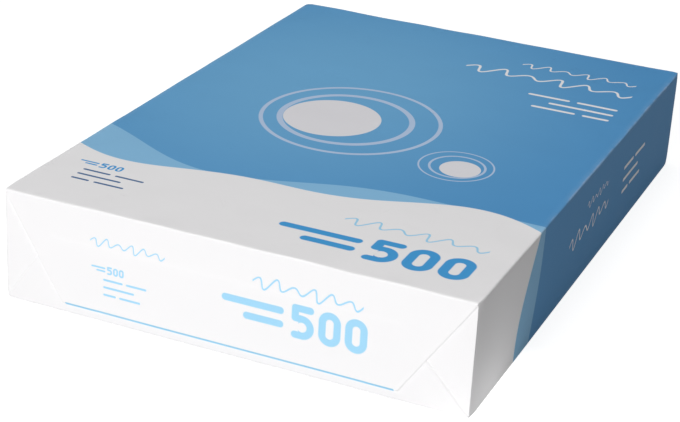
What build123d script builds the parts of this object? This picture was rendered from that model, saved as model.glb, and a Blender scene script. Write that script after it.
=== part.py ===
"""Wrapped ream of A4 copy paper: 500 sheets sealed in one printed wrapper.

The stack can't be seen into, so the pack is one closed solid with the true outer
form of its folded wrapper. Frame: +Z up, +Y along the 297 mm side of the sheets,
origin at the middle of the face that it rests on. Millimetres.
"""

from build123d import *
import os

# --- sheets -----------------------------------------------------------------
sheet_width = 210.0
sheet_length = 297.0
sheet_count = 500
sheet_caliper = 0.1

# --- wrapper ----------------------------------------------------------------
wrapper_thickness = 0.12
side_slack = 0.25  # air between the stack's edge and the wrapper, each long side
end_slack = 0.3  # the same at each short end
fold_radius = 1.0  # outside of the fold round each edge of the stack
seam_offset = 18.0  # the underside's overlap ends this far to +X of the middle

# --- envelope folds at each short end -----------------------------------------
# Three levels lie on an end, from the stack outwards: the side tucks, the lower
# flap over them and the upper flap over that. A flap's slanted edge is a fold, so
# each flap adds two thicknesses there.
tuck_layers = 1
layers_per_flap = 2
upper_flap_reach = 46.0  # down from the top edge
upper_flap_inset = 29.0  # how much narrower it is at its free edge, each side
lower_flap_reach = 34.0  # up from the bottom edge
lower_flap_inset = 28.0

# --- worked out ---------------------------------------------------------------
stack_height = sheet_count * sheet_caliper
# The wrapper overlaps itself under the stack, so two layers lie there and one above.
height = stack_height + 3 * wrapper_thickness
width = sheet_width + 2 * (side_slack + wrapper_thickness)
tuck_level = sheet_length / 2 + end_slack + tuck_layers * wrapper_thickness
lower_flap_level = tuck_level + layers_per_flap * wrapper_thickness
upper_flap_level = lower_flap_level + layers_per_flap * wrapper_thickness


def block(end_level):
    """The wrapped block out to end_level at both ends, with a round fold on each edge."""
    with BuildPart() as body:
        Box(width, 2 * end_level, height, align=(Align.CENTER, Align.CENTER, Align.MIN))
        fillet(body.edges(), fold_radius)
    return body.part


def flap(hinge_height, reach, inset, end_level):
    """Both ends' flap: it hangs from hinge_height by reach, and narrows by inset."""
    with BuildPart() as pair:
        add(block(end_level))
        with BuildSketch(Plane.XZ) as outline:
            with BuildLine():
                Polyline(
                    (-width / 2, hinge_height),
                    (width / 2, hinge_height),
                    (width / 2 - inset, hinge_height + reach),
                    (-width / 2 + inset, hinge_height + reach),
                    close=True,
                )
            make_face()
        extrude(amount=end_level, both=True, mode=Mode.INTERSECT)
    return pair.part


with BuildPart() as wrapped_ream:
    add(block(tuck_level))
    add(flap(0, lower_flap_reach, lower_flap_inset, lower_flap_level))
    add(flap(height, -upper_flap_reach, upper_flap_inset, upper_flap_level))
    # Past the overlap's edge the underside has one layer less, the whole way along.
    with Locations((seam_offset, 0, 0)):
        Box(
            width,
            2 * upper_flap_level,
            wrapper_thickness,
            align=(Align.MIN, Align.CENTER, Align.MIN),
            mode=Mode.SUBTRACT,
        )

wrapped_ream.part.label = "wrapped_ream"

os.makedirs("parts", exist_ok=True)
export_step(wrapped_ream.part, "parts/wrapped_ream.step")
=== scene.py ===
"""A sealed ream of copy paper lying on a pale studio floor.

The pack is one piece: 500 sheets inside a film-coated paper wrapper, glued under the pack and
closed with envelope folds at both short ends. Its printed design is plain fields of colour,
waves, ripples, bars and a sheet count.
"""

import logging
import math
from dataclasses import dataclass
from enum import Enum

import bmesh
import bpy
from bpy.types import NodeSocket, NodeTree
from mathutils import Matrix, Vector, noise


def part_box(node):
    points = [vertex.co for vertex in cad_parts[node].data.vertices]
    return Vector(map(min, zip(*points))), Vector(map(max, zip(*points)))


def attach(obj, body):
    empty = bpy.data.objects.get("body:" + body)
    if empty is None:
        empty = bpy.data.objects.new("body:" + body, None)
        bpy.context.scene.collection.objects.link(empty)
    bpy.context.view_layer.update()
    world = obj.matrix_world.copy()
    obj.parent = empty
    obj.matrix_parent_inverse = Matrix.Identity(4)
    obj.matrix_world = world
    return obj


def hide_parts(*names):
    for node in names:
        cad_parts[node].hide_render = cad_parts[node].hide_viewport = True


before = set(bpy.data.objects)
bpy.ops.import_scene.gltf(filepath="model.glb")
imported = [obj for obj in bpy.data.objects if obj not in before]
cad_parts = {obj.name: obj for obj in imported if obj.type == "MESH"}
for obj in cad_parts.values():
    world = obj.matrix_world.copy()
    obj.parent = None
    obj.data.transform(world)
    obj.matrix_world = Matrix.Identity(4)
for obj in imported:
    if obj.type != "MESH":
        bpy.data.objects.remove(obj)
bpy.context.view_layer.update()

MM = 0.001
PRINT_MAP = "wrap"
WEAR_LAYER = "fold_wear"
FACING = (0.35, 0.9)  # how square to an axis the skin is where it starts and ends as that face
FINE_START = Vector((3.1, 7.4, 1.7))  # keeps the fine waves apart from the broad ones
STAMP_AWAY = 8  # how many half extents off a mark's middle the bare sheet counts as
SIDES_APART = 4.0  # keeps the waves of the left and right sides apart
log = logging.getLogger("ream")


def linear(hex_colour: str) -> tuple[float, float, float, float]:
    """Turns an sRGB hex colour to linear RGBA.

    Args:
        hex_colour: The colour, as "#rrggbb".

    Returns:
        Red, green, blue and alpha, each from 0 to 1.
    """
    shares = [int(hex_colour[i : i + 2], 16) / 255 for i in (1, 3, 5)]
    turned = [s / 12.92 if s <= 0.04045 else ((s + 0.055) / 1.055) ** 2.4 for s in shares]
    return (turned[0], turned[1], turned[2], 1.0)


def smooth_step(low: float, high: float, value: float) -> float:
    """Rises smoothly from 0 to 1 as value goes from low to high.

    Args:
        low: Where the rise starts.
        high: Where it ends.
        value: The place on it.

    Returns:
        The height of the rise there.
    """
    share = min(max((value - low) / (high - low), 0.0), 1.0)
    return share * share * (3 - 2 * share)


def add_node(
    tree: NodeTree, kind: str, inputs: dict | None = None, **settings: object
) -> bpy.types.Node:
    """Adds one node with its settings and links.

    Args:
        tree: The node tree that it goes in.
        kind: The node's type name.
        inputs: A value or an output socket for each input, by its name or number.
        settings: The node's own properties.

    Returns:
        The new node.
    """
    node = tree.nodes.new(kind)
    for name, value in settings.items():
        setattr(node, name, value)
    for key, value in (inputs or {}).items():
        if isinstance(value, NodeSocket):
            tree.links.new(value, node.inputs[key])
        else:
            node.inputs[key].default_value = value
    return node


def add_math(tree: NodeTree, operation: str, *inputs: float | NodeSocket) -> NodeSocket:
    """Adds one math node.

    Args:
        tree: The node tree that it goes in.
        operation: What it does with its inputs.
        inputs: A value or an output socket for each input, in order.

    Returns:
        The socket of its result.
    """
    node = add_node(tree, "ShaderNodeMath", dict(enumerate(inputs)), operation=operation)
    return node.outputs[0]


class PackEnd(Enum):
    """The two short ends that the envelope folds close, by the sign of their Y."""

    NEAR = -1
    FAR = 1


class Panel(Enum):
    """The panels that print goes on."""

    TOP = "top"
    RIGHT_SIDE = "right side"
    LEFT_SIDE = "left side"
    NEAR_END = "near end"
    FAR_END = "far end"


@dataclass(frozen=True)
class Flap:
    """One of the two wide flaps of an envelope fold, a trapezium that narrows to its free edge."""

    from_top: bool
    reach: float
    left_inset: float
    right_inset: float

    def depth(self, x: float, z: float, half_width: float, height: float) -> float:
        """Measures how far inside the flap's outline a point of the end face lies.

        Args:
            x: The point's place across the end.
            z: Its height.
            half_width: Half the width of the end face.
            height: The height of the end face.

        Returns:
            The distance to the nearest slant or free edge, negative outside the flap.
        """
        run = height - z if self.from_top else z
        inset = self.right_inset if x > 0 else self.left_inset
        slant_length = math.hypot(inset, self.reach)
        to_slant = ((half_width - abs(x)) * self.reach - run * inset) / slant_length
        return min(to_slant, self.reach - run)

    def edges(self, half_width: float, height: float) -> list[tuple[Vector, Vector]]:
        """Gives the lines of the two slants and the free edge on the end face.

        Args:
            half_width: Half the width of the end face.
            height: The height of the end face.

        Returns:
            The two end points of each line, with Y left at 0.
        """
        hinge = height if self.from_top else 0.0
        free = hinge - self.reach if self.from_top else self.reach
        right = Vector((half_width - self.right_inset, 0, free))
        left = Vector((self.left_inset - half_width, 0, free))
        return [
            (Vector((half_width, 0, hinge)), right),
            (Vector((-half_width, 0, hinge)), left),
            (left, right),
        ]


@dataclass
class FoldedWrapper:
    """The wrapper sheet, folded tight round the stack and sealed.

    It is made as one closed skin: a block whose folds are eased round, scored along the flaps
    and the seam, unfolded to a print map, and then settled as real paper lies.
    """

    high: Vector
    thickness: float = 0.12 * MM
    fold_radius: float = 0.75 * MM
    cell: float = 3.0 * MM
    seam_offset: float = 18.0 * MM
    tuck_reach: float = 43.0 * MM
    flaps: tuple[Flap, Flap] = (
        Flap(from_top=False, reach=34 * MM, left_inset=23 * MM, right_inset=32 * MM),
        Flap(from_top=True, reach=46 * MM, left_inset=28 * MM, right_inset=30.5 * MM),
    )
    # Two corners took a knock and the rest are only soft: how deep each gives, and how far round.
    knocked_corners: tuple[tuple[tuple[int, int, int], float, float], ...] = (
        ((-1, 1, 1), 0.9 * MM, 4.0 * MM),
        ((1, -1, 1), 1.0 * MM, 6.0 * MM),
    )
    edge_give: float = 0.55 * MM
    edge_reach: float = 2.4 * MM
    soft_depth: float = 0.4 * MM
    soft_reach: float = 5.0 * MM
    # The lines cut beside each flap edge and the seam, by how far they are to its side.
    score_steps: tuple[float, ...] = (-0.6 * MM, -0.38 * MM, -0.16 * MM, 0.16 * MM, 0.6 * MM)
    # Half the width of each step: where a layer's edge shows, under a flap, at a tuck's end and
    # at the seam.
    shown_step: float = 0.16 * MM
    covered_step: float = 1.3 * MM
    tuck_step: float = 1.5 * MM
    seam_step: float = 0.12 * MM
    # A glued flap still lifts a little along its edge: how far, in double layers, and how far in.
    upper_lift: tuple[float, float] = (0.9, 2.2 * MM)
    lower_lift: tuple[float, float] = (0.6, 1.8 * MM)
    # The layer below that edge is pressed in: how deep, how far out its middle is, and how wide.
    pressed: tuple[float, float, float] = (0.45, 0.35 * MM, 0.22 * MM)
    # How far from a fold or a flap's edge the rubbing starts to fade, and where it ends.
    fold_rub: tuple[float, float] = (0.2 * MM, 1.4 * MM)
    flap_rub: tuple[float, float] = (0.1 * MM, 0.5 * MM)
    # The lengths of the waves that tight paper lies in.
    broad_wave: float = 62 * MM
    fine_wave: float = 21 * MM
    side_wave: tuple[float, float] = (33 * MM, 55 * MM)
    # How far each face gives by its long waves and by its fine ones.
    end_give: tuple[float, float] = (0.16 * MM, 0.07 * MM)
    top_give: tuple[float, float] = (0.24 * MM, 0.10 * MM)
    side_give: tuple[float, float] = (0.30 * MM, 0.12 * MM)
    top_sag: float = 0.12 * MM
    restless_edge: float = 9 * MM  # how far in from an edge the top's fine waves are stronger

    def __post_init__(self) -> None:
        """Works out the sizes of the block under the flaps."""
        self.half_width = self.high.x
        self.height = self.high.z
        self.tuck_level = self.high.y - 4 * self.thickness

    def build(self) -> bpy.types.Object:
        """Builds the wrapper.

        Returns:
            The finished object, at the origin with its place in its mesh.
        """
        bm = bmesh.new()
        self.make_block(bm)
        self.ease_folds(bm)
        self.score_lines(bm)
        self.unfold_print(bm)
        self.settle(bm)
        bmesh.ops.triangulate(bm, faces=[f for f in bm.faces if len(f.verts) > 4])
        open_edges = sum(1 for e in bm.edges if not e.is_manifold)
        log.info("wrapper: %d faces, %d open edges", len(bm.faces), open_edges)
        for face in bm.faces:
            face.smooth = True
        mesh = bpy.data.meshes.new("ream_wrapper")
        bm.to_mesh(mesh)
        bm.free()
        piece = bpy.data.objects.new("ream_wrapper", mesh)
        bpy.context.collection.objects.link(piece)
        return piece

    def make_block(self, bm: bmesh.types.BMesh) -> None:
        """Makes the block in a grid of small cells, so that every face can settle later."""
        bmesh.ops.create_cube(bm, size=1)
        size = Vector((2 * self.half_width, 2 * self.tuck_level, self.height))
        bmesh.ops.scale(bm, vec=size, verts=bm.verts)
        bmesh.ops.translate(bm, vec=(0, 0, self.height / 2), verts=bm.verts)
        for axis in range(3):
            cuts = round(size[axis] / self.cell) - 1
            edges = [
                e
                for e in bm.edges
                if abs((e.verts[0].co - e.verts[1].co)[axis]) > size[axis] * 0.9
            ]
            bmesh.ops.subdivide_edges(bm, edges=edges, cuts=cuts, use_grid_fill=True)

    def ease_folds(self, bm: bmesh.types.BMesh) -> None:
        """Rounds the twelve folds, with a line beside each that keeps the flats flat."""
        sharp = [e for e in bm.edges if e.calc_face_angle(0) > math.radians(60)]
        bmesh.ops.bevel(
            bm,
            geom=sharp,
            offset=self.fold_radius,
            offset_type="OFFSET",
            segments=4,
            profile=0.5,
            affect="EDGES",
            clamp_overlap=False,
            material=-1,
        )
        hold = 1.35 * self.fold_radius
        beside = [
            (Vector((self.half_width - hold, 0, 0)), Vector((1, 0, 0))),
            (Vector((hold - self.half_width, 0, 0)), Vector((1, 0, 0))),
            (Vector((0, self.tuck_level - hold, 0)), Vector((0, 1, 0))),
            (Vector((0, hold - self.tuck_level, 0)), Vector((0, 1, 0))),
            (Vector((0, 0, self.height - hold)), Vector((0, 0, 1))),
            (Vector((0, 0, hold)), Vector((0, 0, 1))),
        ]
        for point, normal in beside:
            geom = bm.verts[:] + bm.edges[:] + bm.faces[:]
            bmesh.ops.bisect_plane(bm, geom=geom, dist=1e-6, plane_co=point, plane_no=normal)

    def score_lines(self, bm: bmesh.types.BMesh) -> None:
        """Cuts the lines that the flaps of both ends and the seam under the pack follow."""
        for end in PackEnd:
            for flap in self.flaps:
                for start, stop in flap.edges(self.half_width, self.height):
                    self.cut_beside(bm, Vector((0, end.value, 0)), start, stop, self.score_steps)
        seam_start = Vector((self.seam_offset, -self.high.y, 0))
        seam_stop = Vector((self.seam_offset, self.high.y, 0))
        seam_steps = (*self.score_steps, 0.0)
        self.cut_beside(bm, Vector((0, 0, -1)), seam_start, seam_stop, seam_steps)

    def cut_beside(
        self,
        bm: bmesh.types.BMesh,
        outward: Vector,
        start: Vector,
        stop: Vector,
        steps: tuple[float, ...],
    ) -> None:
        """Cuts parallel lines beside one line of a flat face, only where the line runs.

        Args:
            bm: The wrapper.
            outward: The way that the flat face points.
            start: One end of the line.
            stop: Its other end.
            steps: How far each cut is to the side of the line.
        """
        along = (stop - start).normalized()
        across = outward.cross(along).normalized()
        length = (stop - start).length
        margin = 1.2 * self.cell
        for step in steps:
            faces = []
            for face in bm.faces:
                if face.normal.dot(outward) < 0.98:
                    continue
                place = face.calc_center_median() - start
                place -= outward * place.dot(outward)
                if abs(place.dot(across)) < margin and -margin < place.dot(along) < length + margin:
                    faces.append(face)
            edges = {e for f in faces for e in f.edges}
            verts = {v for f in faces for v in f.verts}
            bmesh.ops.bisect_plane(
                bm,
                geom=[*verts, *edges, *faces],
                dist=0.01 * MM,
                plane_co=start + across * step,
                plane_no=across,
            )

    def unfold_print(self, bm: bmesh.types.BMesh) -> None:
        """Lays the print map over the skin: metres on the sheet, from the middle of the top."""
        layer = bm.loops.layers.uv.new(PRINT_MAP)
        bm.normal_update()
        for face in bm.faces:
            normal = face.normal
            centre = face.calc_center_median()
            side = 1 if centre.x > 0 else -1
            under = normal.z < -0.3 and abs(normal.y) < 0.5
            if under:
                side = 1 if centre.x > self.seam_offset else -1
            for loop in face.loops:
                place = loop.vert.co
                drop = self.height - place.z
                if abs(normal.y) > 0.5:
                    end = 1 if normal.y > 0 else -1
                    loop[layer].uv = (place.x, place.y + end * drop)
                elif under:
                    loop[layer].uv = (side * (2 * self.half_width + drop) - place.x, place.y)
                else:
                    loop[layer].uv = (place.x + side * drop, place.y)

    def settle(self, bm: bmesh.types.BMesh) -> None:
        """Moves every point of the skin from the ideal block to where real paper lies."""
        wear = bm.verts.layers.float.new(WEAR_LAYER)
        bm.normal_update()
        moves = [(v, self.rest_move(v.co, v.normal)) for v in bm.verts]
        for vert, _ in moves:
            vert[wear] = self.wear_at(vert.co, vert.normal)
        for vert, move in moves:
            vert.co += move

    def wear_at(self, place: Vector, normal: Vector) -> float:
        """Gives 1 on a fold and 0 away from it.

        Args:
            place: A point of the ideal block.
            normal: The way that the skin points there.

        Returns:
            How much a fold's rubbing shows there.
        """
        gaps = sorted(
            (
                self.half_width - abs(place.x),
                self.tuck_level - abs(place.y),
                min(place.z, self.height - place.z),
            )
        )
        edge = 1 - smooth_step(*self.fold_rub, gaps[1])
        if abs(normal.y) < 0.98:
            return edge
        lower, upper = (f.depth(place.x, place.z, self.half_width, self.height) for f in self.flaps)
        shown = upper if upper > self.score_steps[0] else lower
        return max(edge, 1 - smooth_step(*self.flap_rub, abs(shown)))

    def layers_at(self, x: float, z: float) -> float:
        """Measures how far the folded layers stand out from an end's tucks.

        Args:
            x: The place across the end.
            z: Its height.

        Returns:
            The thickness of the layers there.
        """
        lower, upper = (f.depth(x, z, self.half_width, self.height) for f in self.flaps)
        covered = smooth_step(-self.shown_step, self.shown_step, upper)
        step = self.shown_step + self.covered_step * covered
        rise = smooth_step(-step, step, lower) + covered
        tuck_edge = abs(x) - (self.half_width - self.tuck_reach)
        rise += 0.5 * smooth_step(-self.tuck_step, self.tuck_step, tuck_edge) - 0.5
        upper_height, upper_reach = self.upper_lift
        lower_height, lower_reach = self.lower_lift
        pressed_depth, pressed_place, pressed_width = self.pressed
        lift = math.exp(-((upper / upper_reach) ** 2)) * covered
        below = math.exp(-(((upper + pressed_place) / pressed_width) ** 2)) * (1 - covered)
        lower_lift = math.exp(-((lower / lower_reach) ** 2)) * (lower > 0) * (1 - covered)
        lower_below = math.exp(-(((lower + pressed_place) / pressed_width) ** 2)) * (lower <= 0)
        pressed = below + lower_below * (1 - covered)
        rise += upper_height * lift + lower_height * lower_lift - pressed_depth * pressed
        return 2 * self.thickness * rise

    def rest_move(self, place: Vector, normal: Vector) -> Vector:
        """Works out how far one point lies from the ideal block.

        Args:
            place: The point on the block.
            normal: The way that the skin points there.

        Returns:
            The move that takes it to where it lies.
        """
        end_share = smooth_step(*FACING, abs(normal.y))
        top_share = smooth_step(*FACING, normal.z)
        under_share = smooth_step(*FACING, -normal.z)
        side_share = smooth_step(*FACING, abs(normal.x))
        broad = noise.noise(place / self.broad_wave)
        fine = noise.noise(place / self.fine_wave + FINE_START)
        move = Vector((0, 0, 0))
        outward_y = 1 if place.y > 0 else -1
        outward_x = 1 if place.x > 0 else -1
        slack = self.end_give[0] * broad + self.end_give[1] * fine
        move.y += outward_y * end_share * (self.layers_at(place.x, place.z) + slack)
        edge_gap = min(self.half_width - abs(place.x), self.tuck_level - abs(place.y))
        restless = 1 + 2 * math.exp(-max(edge_gap, 0) / self.restless_edge)
        bulge = self.top_give[0] * broad + self.top_give[1] * fine * restless
        move.z += top_share * (bulge - self.top_sag)
        along, up = place.y / self.side_wave[0], place.z / self.side_wave[1]
        ripple = noise.noise(Vector((along, up, outward_x * SIDES_APART)))
        middle = math.sin(math.pi * min(max(place.z / self.height, 0), 1))
        bow = self.side_give[0] * ripple + self.side_give[1] * fine
        move.x += outward_x * side_share * bow * middle
        # The thick folded corners keep the upright edges from creasing sharp.
        x_gap = max(self.half_width - abs(place.x), 0)
        y_gap = max(self.tuck_level - abs(place.y), 0)
        move.y -= outward_y * end_share * self.edge_give * math.exp(-x_gap / self.edge_reach)
        move.x -= outward_x * side_share * self.edge_give * math.exp(-y_gap / self.edge_reach)
        seam_rise = smooth_step(-self.seam_step, self.seam_step, place.x - self.seam_offset)
        move.z += under_share * self.thickness * seam_rise
        return move + self.corner_move(place)

    def corner_move(self, place: Vector) -> Vector:
        """Works out how far a soft or knocked corner pulls one point in.

        Args:
            place: The point on the block.

        Returns:
            The move towards the middle of the pack.
        """
        signs = tuple(1 if c > 0 else -1 for c in (place.x, place.y, place.z - self.height / 2))
        corner = Vector((signs[0] * self.half_width, signs[1] * self.tuck_level, 0))
        corner.z = self.height if signs[2] > 0 else 0.0
        depth, reach = self.soft_depth, self.soft_reach
        for knocked, knock_depth, knock_reach in self.knocked_corners:
            if signs == knocked:
                depth, reach = knock_depth, knock_reach
        share = 1 - min((place - corner).length / reach, 1)
        return -Vector(signs).normalized() * depth * share * share


@dataclass(frozen=True)
class Mark:
    """One printed mark: its panel, the middle of its place in millimetres, and its size.

    On the top, along runs from the left edge and up from the near end. On a side or an end,
    along runs from that panel's own left as one looks at it, and up from the floor.
    """

    panel: Panel
    along: float
    up: float
    size: float
    flipped: bool = False


class MarkKind:
    """A kind of mark, drawn in units of its size about its own middle."""

    half_extent: tuple[float, float] = (1.0, 1.0)

    def distance(self, tree: NodeTree, at: NodeSocket) -> NodeSocket:
        """Adds the nodes for the distance from the mark's edge, negative inside it.

        Args:
            tree: The material's node tree.
            at: The place in the mark's own units.

        Returns:
            The socket that carries the distance.
        """
        raise NotImplementedError

    def segment(
        self,
        tree: NodeTree,
        at: NodeSocket,
        start: tuple[float, float],
        stop: tuple[float, float],
    ) -> NodeSocket:
        """Adds the nodes for the distance from a straight line with round ends.

        Args:
            tree: The material's node tree.
            at: The place that it is measured from.
            start: One end of the line.
            stop: Its other end.

        Returns:
            The socket that carries the distance.
        """
        run = Vector((stop[0] - start[0], stop[1] - start[1], 0))
        offset = add_node(
            tree, "ShaderNodeVectorMath", {0: at, 1: (*start, 0)}, operation="SUBTRACT"
        )
        share = add_node(
            tree,
            "ShaderNodeVectorMath",
            {0: offset.outputs[0], 1: tuple(run / run.length_squared)},
            operation="DOT_PRODUCT",
        )
        held = add_node(tree, "ShaderNodeClamp", {0: share.outputs["Value"]})
        reached = add_node(
            tree,
            "ShaderNodeVectorMath",
            {0: tuple(run), "Scale": held.outputs[0]},
            operation="SCALE",
        )
        gap = add_node(
            tree,
            "ShaderNodeVectorMath",
            {0: offset.outputs[0], 1: reached.outputs[0]},
            operation="DISTANCE",
        )
        return gap.outputs["Value"]

    def drawn(self, tree: NodeTree, strokes: list[NodeSocket], weight: float) -> NodeSocket:
        """Adds the nodes that join several strokes and give them their weight.

        Args:
            tree: The material's node tree.
            strokes: The distance from the middle line of each stroke.
            weight: Half the width of a stroke.

        Returns:
            The socket that carries the distance from the edge of the whole.
        """
        nearest = strokes[0]
        for stroke in strokes[1:]:
            both = add_math(tree, "MINIMUM", nearest, stroke)
            nearest = both
        return add_math(tree, "SUBTRACT", nearest, weight)


class SheetCount(MarkKind):
    """The number of sheets, 500, in heavy round-ended figures beside two heavy bars."""

    half_extent = (2.2, 0.56)
    weight = 0.105
    zero_reach = 0.18  # half the straight part of a nought's sides
    zero_radius = 0.215

    def distance(self, tree: NodeTree, at: NodeSocket) -> NodeSocket:
        """See MarkKind.distance."""
        rise = 0.5 - self.weight
        waist = 0.1
        turn = 0.22  # where the five's waist and foot turn into its bowl
        strokes = [
            self.segment(tree, at, (-2.05, 0.2), (-0.42, 0.2)),
            self.segment(tree, at, (-1.4, -0.2), (-0.42, -0.2)),
            self.segment(tree, at, (0.02, rise), (0.45, rise)),
            self.segment(tree, at, (0.02, rise), (0.02, waist)),
            self.segment(tree, at, (0.02, waist), (turn, waist)),
            self.segment(tree, at, (0.02, -rise), (turn, -rise)),
            self.bowl(tree, at, (turn, (waist - rise) / 2), (waist + rise) / 2),
            self.zero(tree, at, 1.02),
            self.zero(tree, at, 1.78),
        ]
        return self.drawn(tree, strokes, self.weight)

    def zero(self, tree: NodeTree, at: NodeSocket, middle: float) -> NodeSocket:
        """Adds the nodes for the distance from the middle line of an upright oval."""
        spine = self.segment(tree, at, (middle, -self.zero_reach), (middle, self.zero_reach))
        off = add_math(tree, "SUBTRACT", spine, self.zero_radius)
        return add_math(tree, "ABSOLUTE", off)

    def bowl(
        self,
        tree: NodeTree,
        at: NodeSocket,
        centre: tuple[float, float],
        radius: float,
    ) -> NodeSocket:
        """Adds the nodes for the distance from the right half of a ring."""
        from_centre = add_node(
            tree, "ShaderNodeVectorMath", {0: at, 1: (*centre, 0)}, operation="SUBTRACT"
        )
        gap = add_node(
            tree, "ShaderNodeVectorMath", {0: from_centre.outputs[0]}, operation="LENGTH"
        )
        off = add_math(tree, "SUBTRACT", gap.outputs["Value"], radius)
        ring = add_math(tree, "ABSOLUTE", off)
        across = add_node(tree, "ShaderNodeSeparateXYZ", {0: from_centre.outputs[0]})
        left = add_math(tree, "MULTIPLY", across.outputs["X"], -1)
        return add_math(tree, "MAXIMUM", ring, left)


class Flourish(MarkKind):
    """A thin slanted wave line."""

    half_extent = (3.1, 0.6)
    half_length = 3.0
    height = 0.36
    turns = 6.0
    swell = 0.3  # the share of the height that comes and goes along the line
    swell_rate = 0.37
    lean = 0.35
    weight = 0.045

    def distance(self, tree: NodeTree, at: NodeSocket) -> NodeSocket:
        """See MarkKind.distance."""
        place = add_node(tree, "ShaderNodeSeparateXYZ", {0: at})
        x, y = place.outputs["X"], place.outputs["Y"]
        leant = add_math(tree, "MULTIPLY_ADD", y, -self.lean, x)
        rate = self.turns * math.pi / self.half_length
        angle = add_math(tree, "MULTIPLY", leant, rate)
        slow = add_math(tree, "MULTIPLY", angle, self.swell_rate)
        swell = add_math(tree, "SINE", slow)
        steady = (1 - self.swell) * self.height
        height = add_math(tree, "MULTIPLY_ADD", swell, self.swell * self.height, steady)
        rise = add_math(tree, "SINE", angle)
        line = add_math(tree, "MULTIPLY", rise, height)
        gap = add_math(tree, "SUBTRACT", y, line)
        steep = add_math(tree, "COSINE", angle)
        tall = add_math(tree, "MULTIPLY", height, rate)
        slope = add_math(tree, "MULTIPLY", steep, tall)
        climb = add_math(tree, "MULTIPLY_ADD", slope, self.lean, 1.0)
        gradient = add_node(tree, "ShaderNodeCombineXYZ", {0: slope, 1: climb})
        stretch = add_node(
            tree, "ShaderNodeVectorMath", {0: gradient.outputs[0]}, operation="LENGTH"
        )
        even = add_math(tree, "DIVIDE", gap, stretch.outputs["Value"])
        off = add_math(tree, "ABSOLUTE", even)
        edge = add_math(tree, "SUBTRACT", off, self.weight)
        length = add_math(tree, "ABSOLUTE", x)
        past = add_math(tree, "SUBTRACT", length, self.half_length)
        return add_math(tree, "MAXIMUM", edge, past)


class CaptionLines(MarkKind):
    """Three lines of plain bars, where a pack carries its small print."""

    half_extent = (3.0, 1.35)
    weight = 0.13
    bars = (
        ((-2.7, 0.95), (-0.4, 0.95)),
        ((0.3, 0.95), (2.7, 0.95)),
        ((-2.7, 0.0), (1.1, 0.0)),
        ((-2.7, -0.95), (-1.3, -0.95)),
        ((-0.6, -0.95), (1.9, -0.95)),
    )

    def distance(self, tree: NodeTree, at: NodeSocket) -> NodeSocket:
        """See MarkKind.distance."""
        strokes = [self.segment(tree, at, start, stop) for start, stop in self.bars]
        return self.drawn(tree, strokes, self.weight)


@dataclass(frozen=True)
class Wave:
    """The line of a long wave along the sheet, in millimetres.

    Level is its middle, from the near end. Swells are the height, length and start of each swell
    that it is the sum of.
    """

    level: float
    swells: tuple[tuple[float, float, float], ...]


@dataclass(frozen=True)
class Ripple:
    """A round spot inside thin rings that drift away from it, in millimetres.

    Drift is how far each ring's middle lies off the spot's, as a share of that ring's radius.
    """

    along: float
    up: float
    radius: float
    drift: tuple[float, float]


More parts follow.
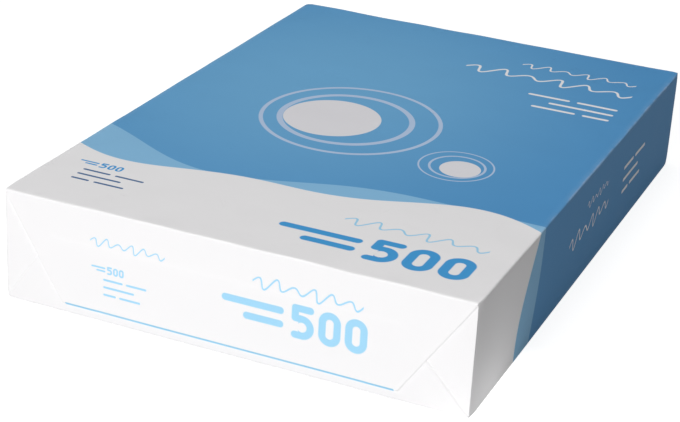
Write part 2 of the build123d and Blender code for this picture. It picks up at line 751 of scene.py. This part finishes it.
@dataclass
class WrapperPrint:
    """The printed design, drawn in millimetres on the unfolded sheet."""

    half_width: float
    half_length: float
    height: float
    paper: str = "#f3f2f3"
    field_blue: str = "#5698cd"
    # A paler blue for the left and middle of the field, partly print and partly painted light.
    field_print_and_painted_light: str = "#72afda"
    crest_blue: str = "#8cc0e4"
    ink_blue: str = "#4aa0dc"
    ink_pale: str = "#a4d8f5"
    ink_small: str = "#55759f"
    stripe: str = "#8ecbea"
    ring_grey: str = "#e6e5e9"
    ring_blue: str = "#b9cde8"
    edge: float = 0.12  # half the width of a printed edge
    stamp_edge: float = 0.012  # the same for a mark, in units of its size
    end_edge: float = 0.5  # the same for the change of ink at the near end's top fold
    front_wave: Wave = Wave(66, ((12, 230, 5), (6, 118, -62)))
    back_wave: Wave = Wave(74, ((11, 205, 25), (5, 131, -20)))
    # The blue is lighter round one place, partly a paler print and partly painted light where the
    # lamps fall more, and fades between two shares of that reach.
    light_place: tuple[float, float, float] = (-45, 40, 0)
    light_reach: tuple[float, float, float] = (160, 200, 1)
    light_fade: tuple[float, float] = (0.1, 1.1)
    # The stripe's height over the floor, its two ends from the middle, and half its width.
    stripe_up: float = 4.9
    stripe_ends: tuple[float, float] = (-75.5, 73)
    stripe_half_width: float = 0.55
    ripples: tuple[Ripple, ...] = (
        Ripple(along=84, up=146, radius=50, drift=(0.20, 0.06)),
        Ripple(along=158, up=119, radius=20, drift=(-0.16, 0.14)),
    )
    counts: tuple[Mark, ...] = (
        Mark(Panel.TOP, 157, 24, 20),
        Mark(Panel.TOP, 22, 42, 5),
        Mark(Panel.NEAR_END, 135, 24, 15),
        Mark(Panel.NEAR_END, 50, 25, 3.6),
        Mark(Panel.LEFT_SIDE, 120, 24, 13),
        Mark(Panel.FAR_END, 105, 24, 15),
    )
    flourishes: tuple[Mark, ...] = (
        Mark(Panel.TOP, 167, 45, 10.5),
        Mark(Panel.TOP, 167, 266, 10),
        Mark(Panel.TOP, 156, 249, 14.5),
        Mark(Panel.NEAR_END, 59, 37, 5.8),
        Mark(Panel.NEAR_END, 140, 37, 8),
        Mark(Panel.RIGHT_SIDE, 150, 24, 10),
        Mark(Panel.RIGHT_SIDE, 160, 35, 5.5),
        Mark(Panel.LEFT_SIDE, 60, 30, 9),
    )
    captions: tuple[Mark, ...] = (
        Mark(Panel.TOP, 32, 30, 5.2),
        Mark(Panel.TOP, 176, 219, 8, flipped=True),
        Mark(Panel.NEAR_END, 58, 17, 3.6),
        Mark(Panel.RIGHT_SIDE, 222, 25, 6.5),
        Mark(Panel.LEFT_SIDE, 60, 17, 6),
    )

    def on_sheet(self, mark: Mark) -> tuple[float, float, float]:
        """Finds a mark's place on the unfolded sheet.

        Args:
            mark: The mark.

        Returns:
            Its two print coordinates and the angle that it is turned by.
        """
        drop = self.height - mark.up
        if mark.panel is Panel.TOP:
            return (mark.along - self.half_width, mark.up - self.half_length, 0.0)
        if mark.panel is Panel.NEAR_END:
            return (mark.along - self.half_width, -self.half_length - drop, 0.0)
        if mark.panel is Panel.FAR_END:
            return (self.half_width - mark.along, self.half_length + drop, math.pi)
        if mark.panel is Panel.RIGHT_SIDE:
            return (self.half_width + drop, mark.along - self.half_length, math.pi / 2)
        return (-self.half_width - drop, self.half_length - mark.along, -math.pi / 2)

    def inked(self, tree: NodeTree, distance: NodeSocket, edge: float | None = None) -> NodeSocket:
        """Adds the node that turns a distance to how much ink lies there.

        Args:
            tree: The material's node tree.
            distance: The distance from a shape's edge, negative inside it.
            edge: Half the width of the soft edge, if it isn't the print's own.

        Returns:
            The socket that carries the cover, from 0 to 1.
        """
        soft = self.edge if edge is None else edge
        return add_node(
            tree,
            "ShaderNodeMapRange",
            {"Value": distance, "From Min": soft, "From Max": -soft, "To Min": 0, "To Max": 1},
        ).outputs["Result"]

    def stamped(
        self,
        tree: NodeTree,
        at: NodeSocket,
        kind: MarkKind,
        marks: tuple[Mark, ...],
    ) -> NodeSocket:
        """Adds the nodes that print one kind of mark at each of its places.

        Every place brings its own part of the sheet to the mark, which is then drawn once.

        Args:
            tree: The material's node tree.
            at: The place on the sheet.
            kind: The kind of mark.
            marks: Its places.

        Returns:
            The socket that carries the cover, from 0 to 1.
        """
        across_away, up_away = (STAMP_AWAY * half for half in kind.half_extent)
        local = add_node(tree, "ShaderNodeCombineXYZ", {0: across_away, 1: up_away}).outputs[0]
        for mark in marks:
            across, down, angle = self.on_sheet(mark)
            size = (-mark.size if mark.flipped else mark.size, mark.size, 1)
            here = add_node(
                tree,
                "ShaderNodeMapping",
                {
                    "Vector": at,
                    "Location": (across, down, 0),
                    "Rotation": (0, 0, angle),
                    "Scale": size,
                },
                vector_type="TEXTURE",
            ).outputs[0]
            share = add_node(
                tree,
                "ShaderNodeVectorMath",
                {0: here, 1: (1 / kind.half_extent[0], 1 / kind.half_extent[1], 0)},
                operation="MULTIPLY",
            )
            size_of = add_node(
                tree, "ShaderNodeVectorMath", {0: share.outputs[0]}, operation="ABSOLUTE"
            )
            parts = add_node(tree, "ShaderNodeSeparateXYZ", {0: size_of.outputs[0]})
            most = add_math(tree, "MAXIMUM", parts.outputs["X"], parts.outputs["Y"])
            inside = add_math(tree, "LESS_THAN", most, 1.0)
            chosen = add_node(
                tree, "ShaderNodeMix", {0: inside, 4: local, 5: here}, data_type="VECTOR"
            )
            local = chosen.outputs[1]
        return self.inked(tree, kind.distance(tree, local), edge=self.stamp_edge)

    def wave_line(self, tree: NodeTree, across: NodeSocket, wave: Wave) -> NodeSocket:
        """Adds the nodes for a long wave along the sheet.

        Args:
            tree: The material's node tree.
            across: The coordinate that the wave runs along.
            wave: The wave's level and swells.

        Returns:
            The socket that carries the wave's height on the sheet.
        """
        total = wave.level - self.half_length
        for height, length, start in wave.swells:
            rate = 2 * math.pi / length
            angle = add_math(tree, "MULTIPLY_ADD", across, rate, -rate * start)
            rise = add_math(tree, "SINE", angle)
            added = add_math(tree, "MULTIPLY_ADD", rise, height, total)
            total = added
        return total

    def laid_over(
        self,
        tree: NodeTree,
        under: NodeSocket | str,
        over: NodeSocket | str,
        cover: NodeSocket,
    ) -> NodeSocket:
        """Adds the node that prints one colour over another.

        Args:
            tree: The material's node tree.
            under: The colour below, as a socket or sRGB hex.
            over: The colour on top, as a socket or sRGB hex.
            cover: How much of it lies there, from 0 to 1.

        Returns:
            The socket that carries the mixed colour.
        """
        colours = [linear(c) if isinstance(c, str) else c for c in (under, over)]
        return add_node(
            tree, "ShaderNodeMix", {0: cover, 6: colours[0], 7: colours[1]}, data_type="RGBA"
        ).outputs[2]

    def draw(self, tree: NodeTree) -> NodeSocket:
        """Adds the nodes of the whole print.

        Args:
            tree: The material's node tree.

        Returns:
            The socket that carries the printed colour.
        """
        sheet = add_node(tree, "ShaderNodeUVMap", uv_map=PRINT_MAP).outputs["UV"]
        at = add_node(
            tree, "ShaderNodeVectorMath", {0: sheet, "Scale": 1 / MM}, operation="SCALE"
        ).outputs[0]
        place = add_node(tree, "ShaderNodeSeparateXYZ", {0: at})
        across, down = place.outputs["X"], place.outputs["Y"]

        front = self.wave_line(tree, across, self.front_wave)
        behind = self.wave_line(tree, across, self.back_wave)
        past_front = add_math(tree, "SUBTRACT", front, down)
        past_behind = add_math(tree, "SUBTRACT", behind, down)
        in_blue = self.inked(tree, past_front)
        in_deep = self.inked(tree, past_behind)

        blue = self.blue_print_and_painted_light(tree, at)
        with_crest = self.laid_over(tree, self.crest_blue, blue, in_deep)
        colour = self.laid_over(tree, self.paper, with_crest, in_blue)
        for ripple in self.ripples:
            colour = self.with_ripple(tree, at, colour, ripple)

        above_end = add_math(tree, "ADD", down, self.half_length)
        on_end = self.inked(tree, above_end, edge=self.end_edge)
        ink = self.laid_over(tree, self.ink_blue, self.ink_pale, on_end)
        ink = self.laid_over(tree, ink, self.paper, in_blue)
        pale_ink = self.laid_over(tree, self.ink_pale, self.paper, in_blue)

        counts = self.stamped(tree, at, SheetCount(), self.counts)
        colour = self.laid_over(tree, colour, ink, counts)
        flourishes = self.stamped(tree, at, Flourish(), self.flourishes)
        colour = self.laid_over(tree, colour, pale_ink, flourishes)
        small_ink = self.laid_over(tree, self.ink_small, self.ink_pale, on_end)
        small_ink = self.laid_over(tree, small_ink, self.paper, in_blue)
        captions = self.stamped(tree, at, CaptionLines(), self.captions)
        colour = self.laid_over(tree, colour, small_ink, captions)
        return self.with_flap_stripe(tree, at, colour)

    def blue_print_and_painted_light(self, tree: NodeTree, at: NodeSocket) -> NodeSocket:
        """Adds the nodes of the blue field, which is lighter towards its left and middle: partly a
        paler print and partly painted light.
        """
        gap = add_node(
            tree,
            "ShaderNodeMapping",
            {"Vector": at, "Location": self.light_place, "Scale": self.light_reach},
            vector_type="TEXTURE",
        )
        far = add_node(tree, "ShaderNodeVectorMath", {0: gap.outputs[0]}, operation="LENGTH")
        glow = add_node(
            tree,
            "ShaderNodeMapRange",
            {
                "Value": far.outputs["Value"],
                "From Min": self.light_fade[0],
                "From Max": self.light_fade[1],
                "To Min": 1,
                "To Max": 0,
            },
            interpolation_type="SMOOTHSTEP",
        )
        return self.laid_over(tree, self.field_blue, self.field_print_and_painted_light, glow.outputs["Result"])

    def with_ripple(
        self,
        tree: NodeTree,
        at: NodeSocket,
        colour: NodeSocket,
        ripple: Ripple,
    ) -> NodeSocket:
        """Adds the nodes that print one ripple.

        Args:
            tree: The material's node tree.
            at: The place on the sheet.
            colour: The colour printed so far.
            ripple: The ripple's place and sizes.

        Returns:
            The socket that carries the colour with the ripple on it.
        """
        # Each ring is the radius of its middle and half its width, as shares of the ripple's.
        rings = (
            (0.0, 0.46, self.ring_grey),
            (0.62, 0.028, self.ring_blue),
            (0.84, 0.02, self.ring_blue),
        )
        for middle, half_wide, ink in rings:
            centre = (
                ripple.along - self.half_width + middle * ripple.drift[0] * ripple.radius,
                ripple.up - self.half_length + middle * ripple.drift[1] * ripple.radius,
                0,
            )
            far = add_node(tree, "ShaderNodeVectorMath", {0: at, 1: centre}, operation="DISTANCE")
            off = add_math(tree, "SUBTRACT", far.outputs["Value"], middle * ripple.radius)
            gap = add_math(tree, "ABSOLUTE", off)
            beyond = add_math(tree, "SUBTRACT", gap, half_wide * ripple.radius)
            colour = self.laid_over(tree, colour, ink, self.inked(tree, beyond))
        return colour

    def with_flap_stripe(self, tree: NodeTree, at: NodeSocket, colour: NodeSocket) -> NodeSocket:
        """Adds the nodes of the thin pale stripe along the free edge of the near end's flap."""
        level = -self.half_length - self.height + self.stripe_up
        start, stop = ((end, level) for end in self.stripe_ends)
        bar = MarkKind().segment(tree, at, start, stop)
        beyond = add_math(tree, "SUBTRACT", bar, self.stripe_half_width)
        return self.laid_over(tree, colour, self.stripe, self.inked(tree, beyond))


@dataclass(frozen=True)
class CoatedWrappingPaper:
    """Wood-free wrapping paper, gravure printed and film coated on a web press.

    The film gives the ink a satin sheen over a faint fibre grain, and it rubs pale at the folds.
    """

    design: WrapperPrint
    roughness: float = 0.46
    sheen: float = 0.05
    film_ior: float = 1.5
    fibre_width: float = 0.45 * MM
    fibre_depth: float = 0.03 * MM
    fibre_strength: float = 0.25
    cockle_width: float = 17 * MM
    cockle_depth: float = 0.25 * MM
    cockle_strength: float = 0.6
    rub_width: float = 16 * MM
    least_rub: float = 0.04
    most_rub: float = 0.35

    def material(self) -> bpy.types.Material:
        """Makes the material.

        Returns:
            The finished material.
        """
        made = bpy.data.materials.new("film_coated_wrapping_paper")
        made.use_nodes = True
        tree = made.node_tree
        tree.nodes.clear()
        colour = self.rubbed(tree, self.design.draw(tree))
        place = add_node(tree, "ShaderNodeTexCoord").outputs["Object"]
        fibre = add_node(
            tree,
            "ShaderNodeTexNoise",
            {"Vector": place, "Scale": 1 / self.fibre_width, "Detail": 2, "Roughness": 0.6},
        )
        cockle = add_node(
            tree,
            "ShaderNodeTexNoise",
            {"Vector": place, "Scale": 1 / self.cockle_width, "Detail": 3, "Roughness": 0.5},
        )
        grain = add_node(
            tree,
            "ShaderNodeBump",
            {
                "Strength": self.fibre_strength,
                "Distance": self.fibre_depth,
                "Height": fibre.outputs[0],
            },
        )
        cockled = add_node(
            tree,
            "ShaderNodeBump",
            {
                "Strength": self.cockle_strength,
                "Distance": self.cockle_depth,
                "Height": cockle.outputs[0],
                "Normal": grain.outputs[0],
            },
        )
        shader = add_node(
            tree,
            "ShaderNodeBsdfPrincipled",
            {
                "Base Color": colour,
                "Roughness": self.roughness,
                "IOR": self.film_ior,
                "Specular IOR Level": self.sheen,
                "Normal": cockled.outputs[0],
            },
        )
        add_node(tree, "ShaderNodeOutputMaterial", {"Surface": shader.outputs[0]})
        return made

    def rubbed(self, tree: NodeTree, colour: NodeSocket) -> NodeSocket:
        """Adds the nodes that rub the ink pale along the folds.

        Args:
            tree: The material's node tree.
            colour: The printed colour.

        Returns:
            The socket that carries the worn colour.
        """
        fold = add_node(tree, "ShaderNodeAttribute", attribute_name=WEAR_LAYER)
        place = add_node(tree, "ShaderNodeTexCoord").outputs["Object"]
        rub = add_node(
            tree,
            "ShaderNodeTexNoise",
            {"Vector": place, "Scale": 1 / self.rub_width, "Detail": 5, "Roughness": 0.6},
        )
        spots = add_node(
            tree,
            "ShaderNodeMapRange",
            {
                "Value": rub.outputs[0],
                "From Min": 0.4,
                "From Max": 0.75,
                "To Min": self.least_rub,
                "To Max": self.most_rub,
            },
        )
        worn = add_math(tree, "MULTIPLY", spots.outputs["Result"], fold.outputs["Fac"])
        return self.design.laid_over(tree, colour, self.design.paper, worn)


@dataclass
class Studio:
    """The floor, the soft lights and the camera."""

    middle: Vector
    floor_size: float = 8.0
    floor_colour: str = "#a2a2a2"
    key_place: tuple[float, float, float] = (-0.2, -2.68, 1.02)
    key_size: float = 1.3
    key_power: float = 65.5
    top_place: tuple[float, float, float] = (-0.1, 0.35, 2.25)
    top_size: float = 1.8
    top_power: float = 25.0
    sky_strength: float = 0.08
    floor_glow: float = 0.20
    seen_glow: float = 0.62
    # A painted pool of light: the board glows brighter in this spot and lights the foot of the
    # right side.
    painted_pool_glow: float = 0.75
    painted_pool_radius: float = 0.055
    painted_pool_place: tuple[float, float, float] = (0.125, -0.13, 0.0)
    azimuth: float = 22.81
    elevation: float = 24.17
    roll: float = 3.19
    distance: float = 0.8461
    shift_right: float = 0.01596
    shift_up: float = 0.01744
    lens: float = 95.34

    def build(self) -> None:
        """Builds the studio round the pack."""
        self.build_floor()
        self.build_sky()
        self.build_light("key", Vector(self.key_place), self.key_size, self.key_power)
        self.build_light("overhead", Vector(self.top_place), self.top_size, self.top_power)
        self.build_camera()
        view = bpy.context.scene.view_settings
        view.view_transform = "Standard"
        view.look = "None"

    def build_floor(self) -> None:
        """Builds the pale matt floor."""
        bm = bmesh.new()
        bmesh.ops.create_grid(bm, x_segments=1, y_segments=1, size=self.floor_size / 2)
        mesh = bpy.data.meshes.new("floor")
        bm.to_mesh(mesh)
        bm.free()
        floor = bpy.data.objects.new("floor", mesh)
        bpy.context.collection.objects.link(floor)
        paint = bpy.data.materials.new("matt_white_board")
        paint.use_nodes = True
        shader = paint.node_tree.nodes["Principled BSDF"]
        shader.inputs["Base Color"].default_value = linear(self.floor_colour)
        shader.inputs["Roughness"].default_value = 0.9
        shader.inputs["Specular IOR Level"].default_value = 0.0
        shader.inputs["Emission Color"].default_value = linear("#ffffff")
        # The board is lit from below as well, and more of that shows than reaches the pack.
        # A painted pool of light, a brighter spot in the board's glow beside the near right corner,
        # lightens the foot of the right side.
        tree = paint.node_tree
        place = add_node(tree, "ShaderNodeTexCoord").outputs["Object"]
        far = add_node(
            tree, "ShaderNodeVectorMath", {0: place, 1: self.painted_pool_place}, operation="DISTANCE"
        )
        spot = add_node(
            tree,
            "ShaderNodeMapRange",
            {
                "Value": far.outputs["Value"],
                "From Min": 0,
                "From Max": self.painted_pool_radius,
                "To Min": self.floor_glow + self.painted_pool_glow,
                "To Max": self.floor_glow,
            },
            interpolation_type="SMOOTHSTEP",
        )
        path = add_node(tree, "ShaderNodeLightPath")
        glow = add_math(
            tree,
            "MULTIPLY_ADD",
            path.outputs["Is Camera Ray"],
            self.seen_glow,
            spot.outputs["Result"],
        )
        tree.links.new(glow, shader.inputs["Emission Strength"])
        mesh.materials.append(paint)

    def build_sky(self) -> None:
        """Builds the even pale surround."""
        world = bpy.data.worlds.new("studio")
        world.use_nodes = True
        back = world.node_tree.nodes["Background"]
        back.inputs["Color"].default_value = linear("#ffffff")
        back.inputs["Strength"].default_value = self.sky_strength
        bpy.context.scene.world = world

    def build_light(self, name: str, place: Vector, size: float, power: float) -> None:
        """Builds one square soft light that faces the pack.

        Args:
            name: The light's name.
            place: Where it hangs.
            size: The length of its side.
            power: Its power in watts.
        """
        lamp = bpy.data.lights.new(name, "AREA")
        lamp.shape = "SQUARE"
        lamp.size = size
        lamp.energy = power
        light = bpy.data.objects.new(name, lamp)
        light.location = place
        light.rotation_euler = (self.middle - place).to_track_quat("-Z", "Y").to_euler()
        bpy.context.collection.objects.link(light)

    def build_camera(self) -> None:
        """Builds the camera from its angles about the middle of the pack."""
        turn, tilt = math.radians(self.azimuth), math.radians(self.elevation)
        back = Vector(
            (math.sin(turn) * math.cos(tilt), -math.cos(turn) * math.cos(tilt), math.sin(tilt))
        )
        right = Vector((0, 0, 1)).cross(back).normalized()
        up = back.cross(right)
        axes = Matrix((right, up, back)).transposed()
        axes = axes @ Matrix.Rotation(math.radians(self.roll), 3, "Z")
        right, up = axes.col[0], axes.col[1]
        place = self.middle - right * self.shift_right - up * self.shift_up + back * self.distance
        data = bpy.data.cameras.new("camera")
        data.sensor_fit = "HORIZONTAL"
        data.lens = self.lens
        data.clip_start = 0.01
        camera = bpy.data.objects.new("camera", data)
        camera.matrix_world = Matrix.Translation(place) @ axes.to_4x4()
        bpy.context.collection.objects.link(camera)
        bpy.context.scene.camera = camera


def main() -> None:
    """Builds the pack and the studio, and reports each piece."""
    logging.basicConfig(level=logging.INFO, format="%(name)s: %(message)s")
    low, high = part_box("wrapped_ream")
    wrapper = FoldedWrapper(high).build()
    design = WrapperPrint(high.x / MM, high.y / MM, high.z / MM)
    wrapper.data.materials.append(CoatedWrappingPaper(design).material())
    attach(wrapper, "root")
    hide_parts("wrapped_ream")
    log.info("piece %s is built", wrapper.name)
    Studio((low + high) / 2).build()
    log.info("studio is built")


if __name__ == "__main__":
    main()
